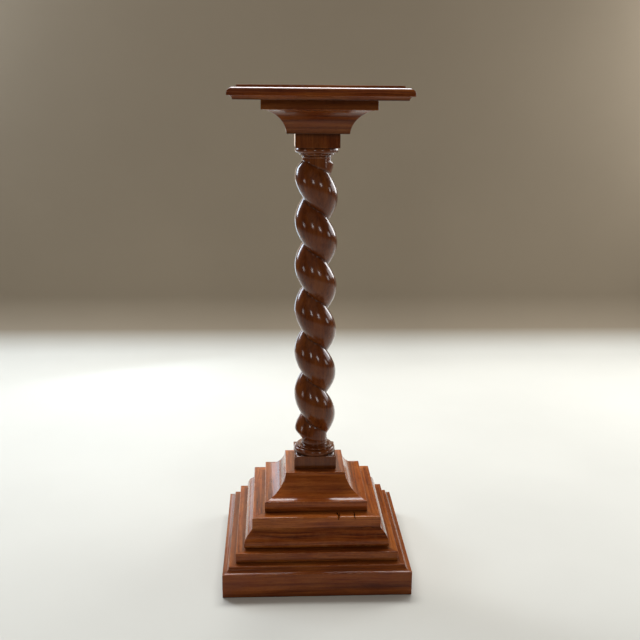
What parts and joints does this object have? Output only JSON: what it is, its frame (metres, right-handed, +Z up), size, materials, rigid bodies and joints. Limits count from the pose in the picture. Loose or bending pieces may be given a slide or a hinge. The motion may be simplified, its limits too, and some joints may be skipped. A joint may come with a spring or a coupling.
{
  "type": "barley twist column",
  "caption": "Free-standing pedestal column in dark polished mahogany: moulded square top, coved cap, left-hand barley twist shaft and stepped square base.",
  "frame": {"origin": "centre of the plinth's underside, on the floor", "axes": "+Z up along the shaft, +X and +Y square to the sides of the base and top; -Y faces the viewer of the picture"},
  "size_m": [0.41, 0.41, 1.0751],
  "materials": {
    "plinth_mahogany": "French polished mahogany, glossy",
    "step_board_mahogany": "French polished mahogany, glossy",
    "ogee_tier_mahogany": "French polished mahogany, glossy",
    "cove_tier_mahogany": "French polished mahogany, glossy",
    "twist_shaft_mahogany": "French polished mahogany, glossy",
    "cap_block_mahogany": "French polished mahogany, glossy",
    "top_board_mahogany": "French polished mahogany, glossy"
  },
  "bodies": {
    "root": {"plinth": "plinth_mahogany", "step_board": "step_board_mahogany", "ogee_tier": "ogee_tier_mahogany", "cove_tier": "cove_tier_mahogany", "twist_shaft": "twist_shaft_mahogany", "cap_block": "cap_block_mahogany", "top_board": "top_board_mahogany"}
  },
  "joints": []
}
